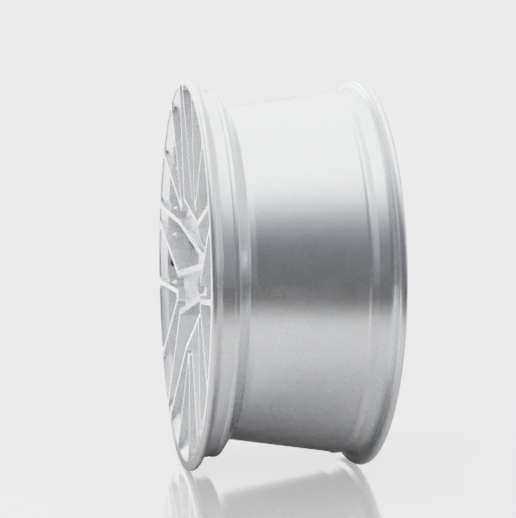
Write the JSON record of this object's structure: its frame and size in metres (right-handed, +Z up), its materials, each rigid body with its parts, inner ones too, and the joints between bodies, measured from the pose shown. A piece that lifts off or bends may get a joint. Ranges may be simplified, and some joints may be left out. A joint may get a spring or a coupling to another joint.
{
  "type": "forged wheel rim",
  "caption": "Forged racing wheel rim: milled mesh face with kite and fork spokes bolted to a deep inner barrel, with tyre valve, hub ring, bolt seats and a plain snap-in centre cap.",
  "frame": {"origin": "centre of the rim: on the wheel's axis, midway between the two rim flanges", "axes": "+Y along the wheel's axis toward the vehicle (the face looks to -Y), +Z up, +X to the right when the face is looked at"},
  "size_m": [0.522, 0.237, 0.522],
  "materials": {
    "face_paint": "bright silver lacquer over forged aluminium",
    "barrel_paint": "bright silver lacquer over forged aluminium",
    "rubber": "matt black rubber",
    "bolt_steel": "bright zinc plated steel",
    "seat_steel": "turned steel",
    "ring_plastic": "matt black nylon",
    "cap_plastic": "bright silver lacquer",
    "disc_metal": "plain spun aluminium",
    "spring_steel": "spring steel",
    "valve_metal": "bright turned aluminium",
    "brass": "turned brass",
    "pin_steel": "bright steel",
    "valve_cap_plastic": "black plastic"
  },
  "bodies": {
    "wheel": {"forged_face": "face_paint", "inner_barrel": "barrel_paint", "joint_seal": "rubber", "assembly_bolts": "bolt_steel", "assembly_washers": "bolt_steel", "lug_seat_1": "seat_steel", "lug_seat_2": "seat_steel", "lug_seat_3": "seat_steel", "lug_seat_4": "seat_steel", "lug_seat_5": "seat_steel", "hub_ring": "ring_plastic", "valve_stem": "valve_metal", "valve_grommet": "rubber", "valve_washer": "valve_metal", "valve_nut": "valve_metal", "valve_core": "brass"},
    "cap": {"centre_cap": "cap_plastic", "cap_disc": "disc_metal", "cap_spring_ring": "spring_steel"},
    "pin": {"valve_pin": "pin_steel"},
    "liner": {"valve_cap_liner": "rubber"},
    "dust_cap": {"valve_cap": "valve_cap_plastic"}
  },
  "joints": [
    {"name": "centre_cap_pull", "type": "slide", "parent": "wheel", "child": "cap", "axis": [0, -1, 0], "range_m": [0, 0.0125]},
    {"name": "valve_pin_press", "type": "slide", "parent": "wheel", "child": "pin", "axis": [-0.5686, 0.8226, 0], "range_m": [0, 0.0012], "stiffness_N_per_m": 400},
    {"name": "valve_cap_travel", "type": "slide", "parent": "wheel", "child": "liner", "axis": [0.5686, -0.8226, 0], "range_m": [0, 0.0119]},
    {"name": "valve_cap_turn", "type": "hinge", "parent": "liner", "child": "dust_cap", "pos_m": [-0.21011, -0.10211, 0], "axis": [0.5686, -0.8226, 0], "range_deg": [0, 5400]}
  ],
  "couplings": [
    {"joint": "valve_cap_turn", "follows": "valve_cap_travel", "rad_per_m": 7915.8}
  ]
}
